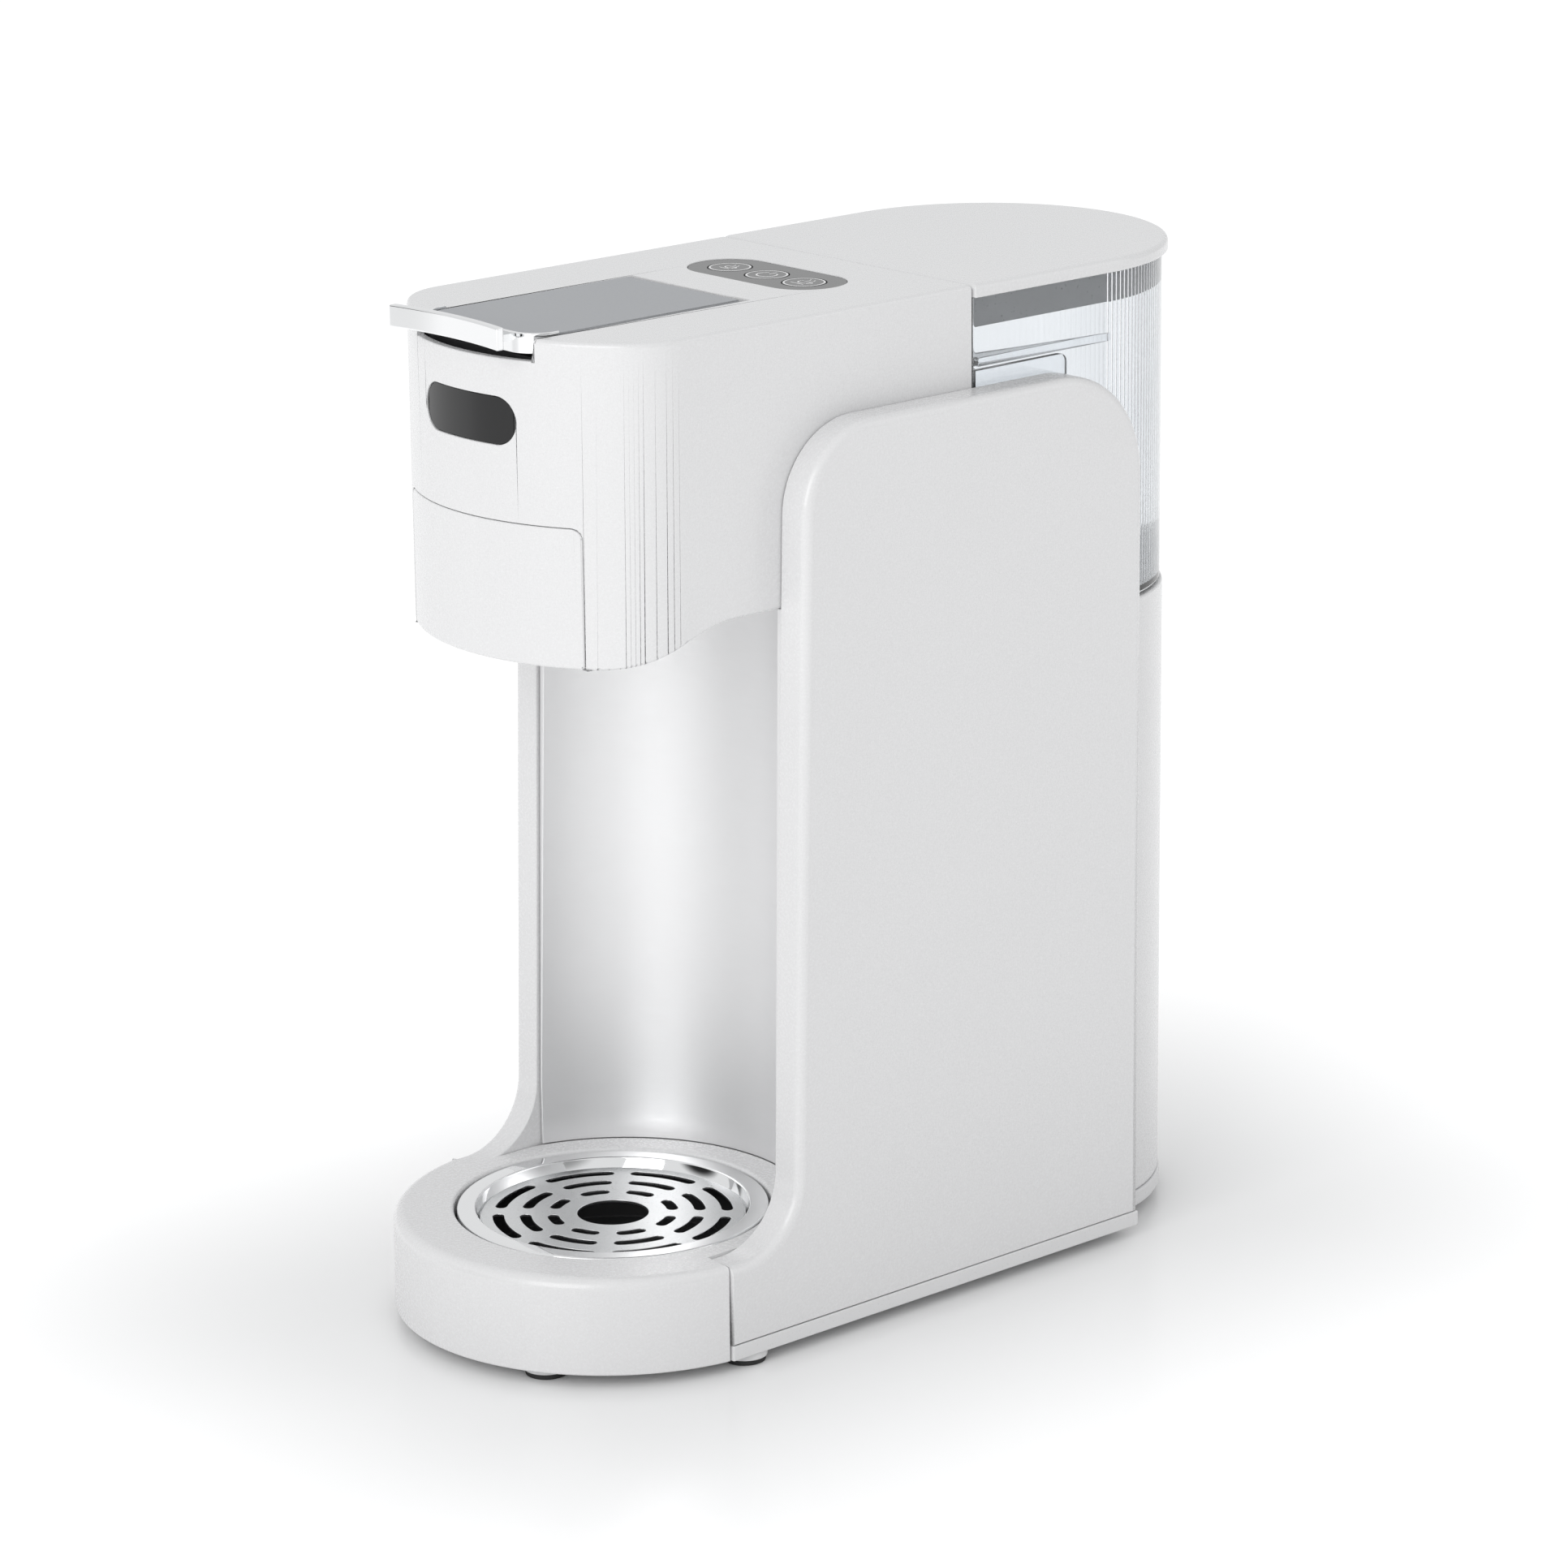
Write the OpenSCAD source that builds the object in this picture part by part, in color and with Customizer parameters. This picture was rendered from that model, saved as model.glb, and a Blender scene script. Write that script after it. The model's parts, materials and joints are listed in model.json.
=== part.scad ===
// Pod coffee machine. Millimetres, +Z up, front towards -Y.
// The origin is on the table, in the middle of the machine's footprint.
// Every module is drawn about the drip tray's axis and then moved by place().

/* [Overall] */
// Height of the head's top face above the table
head_top = 338.5; // [335:0.5:345]
// Width of the head
head_w = 121; // [120:0.5:122]
// Width over the two side panels
body_w = 145; // [144:0.5:150]
// Distance from the drip tray's axis to the water tank's axis
reach = 170; // [166:1:176]

/* [Base] */
// Height of the base plate's underside above the table
plate_z = 4.2; // [4:0.1:5]
// Height of the line between base plate and side panels
plate_top = 9.5; // [9:0.1:10]
// Height of the deck around the drip tray
deck_z = 37; // [36.5:0.1:38]
// Radius of the well that holds the drip tray
well_r = 52.5; // [52.4:0.1:53]
// Height of the grill's top face
grill_z = 33.4; // [33:0.1:33.5]

/* [Head] */
// How far the head's front reaches past the drip tray's axis
head_reach = 54.5; // [54:0.1:55]
// Height of the head's underside at the front
chin_z = 234.5; // [233:0.5:236]
// Height of the head's underside at the column
throat_z = 246.2; // [246:0.1:247]
// Distance from the drip tray's axis back to the line between head and tank
split_y = 107; // [106:0.5:108]

/* [Controls] */
// Distance between neighbouring buttons
button_pitch = 18.1; // [17.5:0.1:18.5]
// Radius of a button
button_r = 7.2; // [6.8:0.1:7.4]
// Travel of a button
button_travel = 0.8; // [0.5:0.1:1]

/* [Water tank] */
// Height of the tank's underside
tank_z = 221.3; // [220.8:0.1:222]
// Thickness of the tank's wall
tank_wall = 2.2; // [2:0.1:2.6]

/* [Hidden] */
$fn = 96;
eps = 0.01;
wall = 2.5;
gap = 0.3;

base_r = body_w / 2;
lid_r = head_w / 2 + 1;
tank_r = head_w / 2 - 1;
core_r = head_w / 2 - 0.1;
tray_y = (base_r - reach - lid_r) / 2;

// Side panels: inner face, front edge, corners, foot sweep
panel_x = head_w / 2 + gap;
panel_t = base_r - panel_x;
panel_top = 305;
panel_back = 173.5;
panel_joint = -10.8;
foot_top = 36.2;
lean_low = [18, 60];
lean_high = [23.8, 275.5];
front_round = 29.5;
rear_round = 36;
sweep_r = 24;

// Column: concave liner about a vertical axis
liner_y = 2;
liner_r = 62;
liner_t = 2.2;

// Head front: a shallow arc between two corner arcs
nose_r = 78.1;
corner_r = 25;
nose_y = nose_r - head_reach;
corner_x = head_w / 2 - corner_r;
corner_y = nose_y - sqrt(pow(nose_r - corner_r, 2) - corner_x * corner_x);

// Flap, its hinge and the recess it lies in
flap_w = 55.2;
flap_front = -48;
flap_round = 8.5;
flap_back = 37;
recess_back = 39.8;
hinge_y = 33.8;
hinge_z = head_top - 5.2;
pin_r = 1.5;
recess_floor = head_top - 7;
inlay_top = head_top + 0.3;
inlay_t = 0.8;
flap_t = 3.4;

// Handle: chrome band round the flap's front, and the bowed bar in front of it
band_half = 28.2;
band_front = -49.9;
band_low = head_top - 5.2;
band_high = head_top + 1.1;
bar_half = 26.8;
bar_mid = -59.1;
bar_bow = 142.6;
bar_t = 2.8;
bar_low = head_top - 2.2;
bar_high = head_top + 4.9;

// Pod chamber
chamber_r = 27.4;
chamber_wall = 2;
chamber_z = 275;
holder_r = 27;
holder_t = 1.4;
holder_top = recess_floor - 1.5;
spout_r = 6.8;
spout_bore = 3.5;
nozzle_z = chin_z - 1.5;

// Front cover and display window
cover_half = 42;
cover_top = 279.5;
cover_round = 3.5;
window_half = 22;
window_r = 7.6;
window_z = 311.5;

// Control panel
pill_y = 72.6;
pill_r = 14;
pill_t = 1.6;

// Drip tray, ring and grill
tray_r = well_r - 0.6;
ring_r = well_r - 0.9;
ring_in = 46;
grill_r = 43.6;
finger_r = 11.8;
slot_w = 3.8;
slot_outer = [39.8, 30.8, 21.8];
slot_spoke = 5.5;

// Tank, lid and outlet
lid_t = 4.4;
lid_z = head_top - lid_t;
tank_top = lid_z - gap;
tank_front = split_y + 0.8;
skirt_h = 11;
neck_y = 150;
neck_r = 7.5;
neck_drop = 8;

// Feet
foot_r = 7.5;
pad_t = 1.8;
foot_places = [[29.5, -53.6], [64.2, 1], [47, 182]];

// ---------- shared helpers ----------

// Moves what is drawn about the tray's axis to the machine's own frame.
module place() {
    translate([0, tray_y, 0]) children();
}

// Points of an arc from angle a0 to a1 in steps.
function arc(c, r, a0, a1, steps) =
    [for (i = [0:steps]) c + r * [cos(a0 + (a1 - a0) * i / steps), sin(a0 + (a1 - a0) * i / steps)]];

// Smooth step from 0 to 1.
function ease(t) = t * t * (3 - 2 * t);

// Extrudes a Y-Z outline along X, from x0 on.
module along_x(x0, length) {
    translate([x0, 0, 0]) rotate([90, 0, 90]) linear_extrude(length) children();
}

// Extrudes an X-Z outline towards -Y, from y0 on.
module along_y(y0, length) {
    translate([0, y0, 0]) rotate([90, 0, 0]) linear_extrude(length) children();
}

// Both mirror images in X.
module both_sides() {
    children();
    mirror([1, 0, 0]) children();
}

// The head's outline in plan, drawn inset by d, back to y_back.
module head_outline(d, y_back) {
    reach_out = 2 * nose_r;
    far = [corner_x, corner_y - nose_y] * (reach_out / (nose_r - corner_r));
    intersection() {
        translate([0, nose_y]) circle(r = nose_r - d);
        polygon([[0, nose_y], [far[0], nose_y + far[1]], [-far[0], nose_y + far[1]]]);
    }
    for (s = [-1, 1]) translate([s * corner_x, corner_y]) circle(r = corner_r - d);
    translate([d - head_w / 2, corner_y]) square([head_w - 2 * d, y_back - corner_y]);
}

// A plan outline with a half-round rear: half width hw, from y_front back.
module round_back(hw, y_front) {
    translate([-hw, y_front]) square([2 * hw, reach - y_front]);
    translate([0, reach]) circle(r = hw);
}

// The space below the head's underside, as a Y-Z outline.
module under_head(drop) {
    start = -42;
    rise = 46;
    steps = 16;
    curve = [for (i = [0:steps])
        [start + rise * i / steps, chin_z + (throat_z - chin_z) * ease(i / steps) - drop]];
    polygon(concat([[-head_reach - 20, chin_z - drop]], curve,
        [[split_y + 20, throat_z - drop], [split_y + 20, chin_z - 60], [-head_reach - 20, chin_z - 60]]));
}

// A pill outline: half length to the end, end radius r.
module pill(half, r) {
    for (s = [-1, 1]) translate([s * (half - r), 0]) circle(r = r);
    translate([r - half, -r]) square([2 * (half - r), 2 * r]);
}

// ---------- base ----------

module base_front_outline(d) {
    intersection() {
        circle(r = base_r - d);
        translate([-base_r, -base_r]) square([2 * base_r, base_r + panel_joint - gap - d]);
    }
    intersection() {
        translate([0, liner_y]) circle(r = liner_r - gap - d);
        translate([d - panel_x + gap, panel_joint - gap - d - 1])
            square([2 * (panel_x - gap - d), 2 * liner_r]);
    }
}

// The base plate's outline in plan, grown by d.
module plate_outline(d) {
    intersection() {
        circle(r = base_r - wall - 0.4 + d);
        translate([-base_r, -base_r]) square([2 * base_r, base_r + 1]);
    }
    translate([-base_r, panel_joint]) square([2 * base_r, panel_back - panel_joint]);
    round_back(head_w / 2 + 0.5, panel_back - 20);
}

// Half-round deck, with the well for the drip tray.
module base_front() {
    well_wall = 2;
    well_floor = 10;
    color("white") place() difference() {
        translate([0, 0, plate_z]) linear_extrude(deck_z - plate_z) base_front_outline(0);
        translate([0, 0, plate_z - 1]) linear_extrude(plate_top - plate_z + 1.1) plate_outline(0.2);
        difference() {
            translate([0, 0, plate_z - 1]) linear_extrude(deck_z - wall - plate_z + 1) base_front_outline(wall);
            translate([0, 0, well_floor]) cylinder(r = well_r + well_wall, h = deck_z);
        }
        translate([0, 0, well_floor + well_wall]) cylinder(r = well_r, h = deck_z);
    }
}

// Plate that closes the machine from below.
module base_plate() {
    plate_h = plate_top - plate_z;
    color("whitesmoke") place() translate([0, 0, plate_z]) difference() {
        linear_extrude(plate_h) plate_outline(0);
        for (p = foot_places) both_sides() translate([p[0], p[1], -1]) cylinder(r = foot_r - 3, h = 4);
        screw_places() translate([0, 0, -1]) cylinder(r = 2, h = plate_h + 2);
    }
}

// Where the screws go through the base plate.
module screw_places() {
    for (y = [78, 140]) both_sides() translate([50, y, 0]) children();
}

module base_screws() {
    head_h = 1.6;
    shank = 12;
    color("silver") place() screw_places() {
        translate([0, 0, plate_z - head_h]) cylinder(r = 3.2, h = head_h);
        translate([0, 0, plate_z - eps]) cylinder(r = 1.9, h = shank);
    }
}

// Two feet of one pair: a white plug that reaches down to its rubber pad.
module feet(i) {
    plug_r = foot_r - 3.1;
    color("white") place() both_sides() translate([foot_places[i][0], foot_places[i][1], 0]) {
        translate([0, 0, pad_t]) cylinder(r = foot_r, h = plate_z - pad_t);
        translate([0, 0, plate_z - eps]) cylinder(r = plug_r, h = 2.5);
    }
}

module foot_pads(i) {
    color("black") place() both_sides() translate([foot_places[i][0], foot_places[i][1], 0])
        cylinder(r = foot_r - 0.6, h = pad_t);
}

// ---------- side panels and body ----------

// Side view of a panel: foot, sweep, leaning front edge, two round corners.
module panel_outline() {
    polygon(concat(
        [[panel_back, plate_top + 0.1], [panel_joint, plate_top + 0.1]],
        [[panel_joint, foot_top]],
        arc([lean_low[0] - sweep_r, foot_top + sweep_r], sweep_r, -90, 0, 10),
        arc([lean_high[0] + front_round, panel_top - front_round], front_round, 180, 90, 12),
        arc([panel_back - rear_round, panel_top - rear_round], rear_round, 90, 0, 14)));
}

module side_panel() {
    skin = 3;
    color("white") place() difference() {
        along_x(panel_x, panel_t) panel_outline();
        // hollow behind the outer skin, open towards the body
        along_x(panel_x - 1, panel_t - skin + 1) difference() {
            translate([36, 24]) square([panel_back - 36 - 9, panel_top - 24 - 44]);
            for (z = [90, 160, 225]) translate([0, z]) square([200, skin]);
        }
    }
}

module side_panel_right() {
    side_panel();
}

module side_panel_left() {
    mirror([1, 0, 0]) side_panel();
}

// Body outline in plan, inset by d: hollowed in front by the column.
module body_outline(d) {
    difference() {
        round_back(core_r - d, 20 + d);
        translate([0, liner_y]) circle(r = liner_r + liner_t + gap / 2 + d);
    }
}

// Upright shell between the side panels: holds pump and heater, carries head and tank.
module body_shell() {
    seat_z = tank_z - gap;
    socket_r = neck_r + 3.2;
    gland_z = 28;
    roof_z = throat_z - 0.4;
    back_wall = [split_y - wall, split_y];
    color("white") place() difference() {
        union() {
            translate([0, 0, plate_top + 0.1]) linear_extrude(seat_z - plate_top - 0.1) body_outline(0);
            translate([0, 0, seat_z - eps]) linear_extrude(roof_z - seat_z + eps) intersection() {
                body_outline(0);
                translate([-base_r, 0]) square([body_w, back_wall[1]]);
            }
        }
        translate([0, 0, plate_top - 1]) linear_extrude(seat_z - wall - plate_top + 1) body_outline(wall);
        translate([0, 0, seat_z - wall - 1]) linear_extrude(roof_z - seat_z + wall + 2) intersection() {
            body_outline(wall);
            translate([-base_r, 0]) square([body_w, back_wall[0]]);
        }
        translate([0, neck_y, seat_z - wall - 1]) cylinder(r = socket_r, h = wall + 2);
        translate([0, reach, gland_z]) rotate([-90, 0, 0]) cylinder(r = 6, h = lid_r);
    }
}

// Concave liner of the column, behind the cup.
module column_face() {
    lean = 1.2;
    color("lightgray") place() intersection() {
        translate([0, liner_y, deck_z + 0.1]) difference() {
            cylinder(r = liner_r + liner_t, h = throat_z - deck_z - 0.5);
            translate([0, 0, -1]) cylinder(r = liner_r, h = throat_z);
        }
        along_x(-core_r, 2 * core_r) polygon([[lean_low[0] + lean, deck_z - 1], [lean_low[0] + lean, lean_low[1]],
            [lean_high[0] + lean, lean_high[1]], [reach, lean_high[1]], [reach, deck_z - 1]]);
    }
}

// Bush in the rear wall that a power cord would pass through.
module cord_gland() {
    gland_z = 28;
    bore_r = 3.6;
    color("dimgray") place() translate([0, reach + core_r - 9, gland_z]) rotate([-90, 0, 0]) difference() {
        union() {
            cylinder(r = 5.9, h = 9.6);
            translate([0, 0, 2]) cylinder(r = 8.5, h = 2.5);
        }
        translate([0, 0, -1]) cylinder(r = bore_r, h = 12);
    }
}

// ---------- drip tray ----------

module drip_tray() {
    floor_z = 12.3;
    t = 1.5;
    rim_z = grill_z - 1.2;
    color("lightgray") place() difference() {
        translate([0, 0, floor_z]) cylinder(r = tray_r, h = rim_z - floor_z);
        translate([0, 0, floor_z + t]) cylinder(r = tray_r - t - 1.5, h = rim_z);
    }
}

// Polished ring: flat flange, hollow inner slope and the step that carries the grill.
module tray_ring() {
    step_z = grill_z - 1.2;
    flange_z = deck_z - 0.4;
    edge = 0.8;
    color("silver") place() rotate_extrude($fn = 128) polygon(concat(
        [[grill_r - 2.6, step_z], [ring_r, step_z], [ring_r, flange_z - edge]],
        arc([ring_r - edge, flange_z - edge], edge, 0, 90, 4),
        arc([ring_in, flange_z - edge], edge, 90, 165, 4),
        [[grill_r + 0.3, step_z + 0.7], [grill_r + 0.3, step_z + 0.2], [grill_r - 2.6, step_z + 0.2]]));
}

// One ring of eight round-ended slots, outer edge at r.
module slot_ring(r) {
    end_r = slot_w / 2;
    mid = r - end_r;
    half = 22.5 - asin((slot_spoke / 2 + end_r) / mid);
    for (i = [0:7]) rotate(22.5 + 45 * i) polygon(concat(
        arc([0, 0], r, -half, half, 7),
        arc(mid * [cos(half), sin(half)], end_r, half + 30, half + 150, 4),
        arc([0, 0], r - slot_w, half, -half, 7),
        arc(mid * [cos(half), -sin(half)], end_r, 210 - half, 330 - half, 4)));
}

module grill() {
    t = 0.9;
    color("gainsboro") place() translate([0, 0, grill_z - t]) linear_extrude(t) difference() {
        circle(r = grill_r, $fn = 128);
        circle(r = finger_r);
        for (r = slot_outer) slot_ring(r);
    }
}

// ---------- head ----------

// Cuts for the flap's recess, the control panel and the display window.
module flap_recess() {
    half = band_half + 0.6;
    translate([-half, -head_reach - 10, recess_floor]) cube([2 * half, head_reach + 10 + recess_back, 20]);
}

module window_prism(grow) {
    along_y(0, head_reach + 5) translate([0, window_z]) pill(window_half + grow, window_r + grow);
}

module cover_prism(grow) {
    half = cover_half + grow;
    top = cover_top + grow;
    along_y(0, head_reach + 5) difference() {
        union() {
            translate([-half, chin_z - 5]) square([2 * half, top - cover_round - chin_z + 5]);
            translate([cover_round - half, chin_z - 5]) square([2 * (half - cover_round), top - chin_z + 5]);
            for (s = [-1, 1]) translate([s * (half - cover_round), top - cover_round]) circle(r = cover_round);
        }
    }
}

// One-piece casing of the head: top, front, sides and rear, open below.
module head_shell() {
    lug_t = 4;
    lug_x = band_half + 0.8;
    color("white") place() {
        difference() {
            translate([0, 0, chin_z - 1]) linear_extrude(head_top - chin_z + 1) head_outline(0, split_y);
            translate([0, 0, chin_z - 2]) linear_extrude(head_top - wall - chin_z + 2)
                head_outline(wall, split_y - wall);
            along_x(-body_w, 2 * body_w) under_head(0);
            flap_recess();
            translate([0, pill_y, head_top - wall - 1]) linear_extrude(wall + 2) pill(button_pitch + pill_r, pill_r);
            window_prism(0.15);
            cover_prism(0.25);
        }
        // hinge lugs under the top, one at each side of the recess
        both_sides() difference() {
            translate([lug_x, hinge_y - 4, hinge_z - 4]) cube([lug_t, 8, head_top - wall - hinge_z + 4 + eps]);
            translate([lug_x - 1, hinge_y, hinge_z]) rotate([0, 90, 0]) cylinder(r = pin_r, h = lug_t + 2);
        }
    }
}

// Floor of the head, following the underside.
module head_floor() {
    t = 2.2;
    inset = wall + 0.2;
    back = 20;
    color("whitesmoke") place() difference() {
        intersection() {
            translate([0, 0, chin_z]) linear_extrude(throat_z - chin_z + 10) difference() {
                head_outline(inset, back);
                translate([0, back - 2]) square([head_w, 4], center = true);
            }
            along_x(-body_w, 2 * body_w) difference() {
                under_head(-t);
                under_head(0);
            }
        }
        translate([0, 0, chin_z - 10]) cylinder(r = spout_r + 0.4, h = 40);
    }
}

// Lower front cover, which pulls off forwards.
module front_cover() {
    color("white") place() intersection() {
        translate([0, 0, chin_z]) linear_extrude(cover_top - chin_z) difference() {
            head_outline(0, 0);
            head_outline(wall, 10);
        }
        cover_prism(0);
    }
}

module display_window() {
    recess = 0.5;
    t = 1.6;
    color("black") place() intersection() {
        translate([0, 0, window_z - window_r]) linear_extrude(2 * window_r) difference() {
            head_outline(recess, 0);
            head_outline(recess + t, 10);
        }
        window_prism(0);
    }
}

// Black pill with three round holes, set into the head's top.
module control_panel() {
    fit = 0.15;
    color("black") place() translate([0, pill_y, head_top - 0.3 - pill_t]) linear_extrude(pill_t) difference() {
        pill(button_pitch + pill_r - fit, pill_r - fit);
        for (s = [-1, 0, 1]) translate([s * button_pitch, 0]) circle(r = button_r + gap);
    }
}

// Round key with a stem towards the switch on the button board.
module button(i) {
    cap_t = 1.4;
    stem_r = 2;
    board_z = head_top - 9;
    color("black") place() translate([i * button_pitch, pill_y, 0]) {
        translate([0, 0, head_top - 0.3 - cap_t]) cylinder(r = button_r, h = cap_t);
        translate([0, 0, board_z + button_travel + 0.4])
            cylinder(r = stem_r, h = head_top - 0.3 - cap_t - board_z - button_travel - 0.4 + eps);
    }
}

module button_board() {
    board_z = head_top - 9;
    t = 1.6;
    color("darkgreen") place() translate([0, pill_y, board_z - t])
        linear_extrude(t) square([64, 24], center = true);
}

// ---------- flap ----------

// A rectangle in plan with two round corners in front.
module round_front(half, front, round_r, back) {
    for (s = [-1, 1]) translate([s * (half - round_r), front + round_r]) circle(r = round_r);
    translate([round_r - half, front]) square([2 * (half - round_r), round_r]);
    translate([-half, front + round_r]) square([2 * half, back - front - round_r]);
}

// The flap's outline in plan, inset by d.
module flap_outline(d) {
    round_front(flap_w / 2 - d, flap_front + d, flap_round - d, flap_back - d);
}

module flap() {
    knuckle_r = 3;
    knuckle_w = flap_w - 1;
    top = inlay_top - inlay_t;
    color("silver") place() difference() {
        union() {
            translate([0, 0, top - flap_t]) linear_extrude(flap_t) flap_outline(0);
            translate([-knuckle_w / 2, hinge_y, hinge_z]) rotate([0, 90, 0]) cylinder(r = knuckle_r, h = knuckle_w);
        }
        translate([-flap_w, hinge_y, hinge_z]) rotate([0, 90, 0]) cylinder(r = pin_r + 0.05, h = 2 * flap_w);
    }
}

module flap_inlay() {
    color("darkgray") place() translate([0, 0, inlay_top - inlay_t]) linear_extrude(inlay_t) flap_outline(0.4);
}

// Chrome handle: band round the flap's front, a web, and the bar, which is bowed inwards.
module handle() {
    band_back = -38;
    web_half = 18;
    web_t = 2.2;
    web_back = 0.6;
    bow_y = bar_mid - bar_bow;
    color("silver") place() {
        translate([0, 0, band_low]) linear_extrude(band_high - band_low) difference() {
            round_front(band_half, band_front, flap_round + 0.5, band_back);
            round_front(flap_w / 2 + 0.1, flap_front - 0.1, flap_round + 0.1, band_back + 1);
        }
        translate([-web_half, bar_mid + bar_t - 1, bar_low + 0.3])
            cube([2 * web_half, band_front + web_back - bar_mid - bar_t + 1, web_t]);
        intersection() {
            translate([0, bow_y, bar_low]) difference() {
                cylinder(r = bar_bow + bar_t, h = bar_high - bar_low, $fn = 360);
                translate([0, 0, -1]) cylinder(r = bar_bow, h = bar_high - bar_low + 2, $fn = 360);
            }
            translate([-bar_half, bar_mid - 10, bar_low - 1]) cube([2 * bar_half, 20, bar_high - bar_low + 2]);
        }
    }
}

module hinge_pin() {
    length = flap_w + 9;
    color("gray") place() translate([-length / 2, hinge_y, hinge_z]) rotate([0, 90, 0]) cylinder(r = pin_r, h = length);
}

// Soft plug under the flap, which presses on the pod's rim.
module brew_seal() {
    top = inlay_top - inlay_t - flap_t;
    plug_r = 24.2;
    drop = 6;
    color("dimgray") place() difference() {
        translate([0, 0, top - drop]) cylinder(r = plug_r, h = drop);
        translate([0, 0, top - drop - 1]) cylinder(r = plug_r - 5, h = drop - 1);
        translate([0, 0, top - 3]) cylinder(r = 1.6, h = 5);
    }
}

module upper_needle() {
    top = inlay_top - inlay_t - flap_t;
    length = 12;
    color("silver") place() translate([0, 0, top - length]) difference() {
        union() {
            translate([0, 0, 4]) cylinder(r = 1.5, h = length - 4);
            cylinder(r1 = 0.4, r2 = 1.5, h = 4 + eps, $fn = 32);
        }
        translate([0, 0, 5]) cylinder(r = 0.7, h = length);
    }
}

// ---------- pod chamber ----------

// Cup-shaped chamber with a flange below the flap's recess.
module brew_chamber() {
    flange_t = 2.4;
    top = recess_floor - 0.3;
    color("dimgray") place() difference() {
        union() {
            translate([0, 0, chamber_z]) cylinder(r = chamber_r + chamber_wall, h = top - chamber_z);
            translate([-33, -44, top - flange_t]) cube([66, 72, flange_t]);
        }
        translate([0, 0, chamber_z + 2.5]) cylinder(r = chamber_r, h = top);
        translate([0, 0, chamber_z - 1]) cylinder(r = spout_r - 1.5, h = 10);
    }
}

module pod_holder() {
    floor_z = chamber_z + 2.8;
    color("black") place() difference() {
        translate([0, 0, floor_z]) cylinder(r = holder_r, h = holder_top - floor_z);
        translate([0, 0, floor_z + 3]) cylinder(r = holder_r - holder_t, h = holder_top);
        translate([0, 0, floor_z - 1]) cylinder(r = 2, h = 10);
    }
}

module lower_needle() {
    base_z = chamber_z + 5.8;
    color("silver") place() translate([0, 0, base_z]) difference() {
        union() {
            cylinder(r = 5, h = 1.5);
            translate([0, 0, 1.5 - eps]) cylinder(r1 = 2, r2 = 1.2, h = 8, $fn = 32);
        }
        translate([0, 0, -1]) cylinder(r = 0.8, h = 12);
    }
}

// Outlet tube from the chamber's floor down through the head's floor.
module spout() {
    collar_r = 10;
    color("dimgray") place() difference() {
        union() {
            translate([0, 0, nozzle_z]) cylinder(r = spout_r, h = chamber_z - nozzle_z);
            translate([0, 0, chamber_z - 4]) cylinder(r = collar_r, h = 4);
        }
        translate([0, 0, nozzle_z - 1]) cylinder(r = spout_bore, h = chamber_z - nozzle_z + 2);
    }
}

// ---------- water tank ----------

// Turns about the upright axis at x = 0, y.
module rotate_about(y, a) {
    translate([0, y, 0]) rotate(a) children();
}

module water_tank() {
    floor_t = 2.6;
    rib_w = 1.2;
    neck_bore = 5.4;
    color([0.8, 0.85, 0.9, 0.35]) place() difference() {
        union() {
            difference() {
                translate([0, 0, tank_z]) linear_extrude(tank_top - tank_z) round_back(tank_r, tank_front);
                translate([0, 0, tank_z + floor_t]) linear_extrude(tank_top)
                    round_back(tank_r - tank_wall, tank_front + tank_wall);
            }
            translate([0, neck_y, tank_z - neck_drop]) cylinder(r = neck_r, h = neck_drop + floor_t);
            // stiffening ribs on the inside of the front wall
            for (x = [-36, -12, 12, 36]) translate([x - rib_w / 2, tank_front + tank_wall - eps, tank_z + floor_t - eps])
                cube([rib_w, 2.5, tank_top - tank_z - skirt_h - 8]);
        }
        translate([0, neck_y, tank_z - neck_drop + 1.5]) cylinder(r = neck_bore, h = neck_drop - 0.8);
        translate([0, neck_y, tank_z - 1]) cylinder(r = 2, h = 10);
        for (a = [0:60:300]) rotate_about(neck_y, a) translate([3.9, 0, tank_z - 1]) cylinder(r = 1, h = 10);
        translate([0, neck_y, tank_z - neck_drop - 1]) cylinder(r = 2.4, h = 10);
    }
}

module tank_lid() {
    color("white") place() translate([0, 0, lid_z]) linear_extrude(lid_t) union() {
        translate([-lid_r, split_y + 0.5]) square([2 * lid_r, reach - split_y - 0.5]);
        translate([0, reach]) circle(r = lid_r);
    }
}

// Translucent band under the lid, which drops inside the tank's wall.
module lid_skirt() {
    fit = 0.4;
    t = 2;
    inset = tank_wall + 2.6;
    color([0.6, 0.62, 0.64, 0.6]) place() translate([0, 0, lid_z - skirt_h]) linear_extrude(skirt_h) difference() {
        round_back(tank_r - inset, tank_front + tank_wall + fit);
        round_back(tank_r - inset - t, tank_front + tank_wall + fit + t);
    }
}

// Cup in the body that the tank's neck drops into; its pin lifts the valve.
module valve_seat() {
    top = tank_z - gap;
    rim_r = neck_r + 3;
    depth = 13;
    color("gray") place() translate([0, neck_y, top - depth]) {
        difference() {
            cylinder(r = rim_r, h = depth);
            translate([0, 0, 3]) cylinder(r = neck_r + 0.4, h = depth);
            translate([4.4, 0, -1]) cylinder(r = 1.6, h = 6);
        }
        cylinder(r = 1.2, h = 4.1);
    }
}

// Mushroom valve inside the tank's neck.
module valve_poppet() {
    seat_z = tank_z - neck_drop + 1.5;
    color("dimgray") place() translate([0, neck_y, seat_z]) {
        cylinder(r = 4.6, h = 1.6);
        translate([0, 0, -2.6]) cylinder(r = 1.6, h = 2.7);
        translate([0, 0, 1.5]) cylinder(r = 1.4, h = 6);
    }
}

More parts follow.
